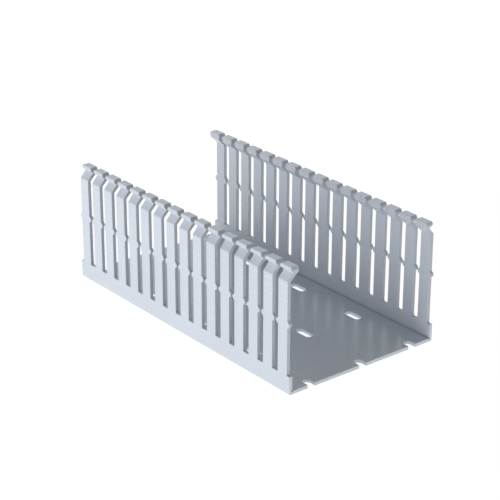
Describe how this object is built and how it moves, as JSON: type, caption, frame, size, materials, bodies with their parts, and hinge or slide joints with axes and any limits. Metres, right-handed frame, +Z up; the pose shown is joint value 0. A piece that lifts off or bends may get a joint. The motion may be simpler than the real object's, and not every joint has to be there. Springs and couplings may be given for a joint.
{
  "type": "slotted wiring duct",
  "caption": "Open-topped slotted wiring duct in light grey plastic, with lipped fingers down both sides and round-ended fixing slots in its base.",
  "frame": {"origin": "middle of the flat underside, halfway along the duct", "axes": "+X runs along the duct, +Y across it from one row of fingers to the other, +Z up towards the open top"},
  "size_m": [0.2032, 0.1078, 0.075],
  "materials": {
    "duct_plastic": "extruded rigid plastic, light cool grey, satin"
  },
  "bodies": {
    "root": {"duct_base": "duct_plastic"}
  },
  "joints": []
}
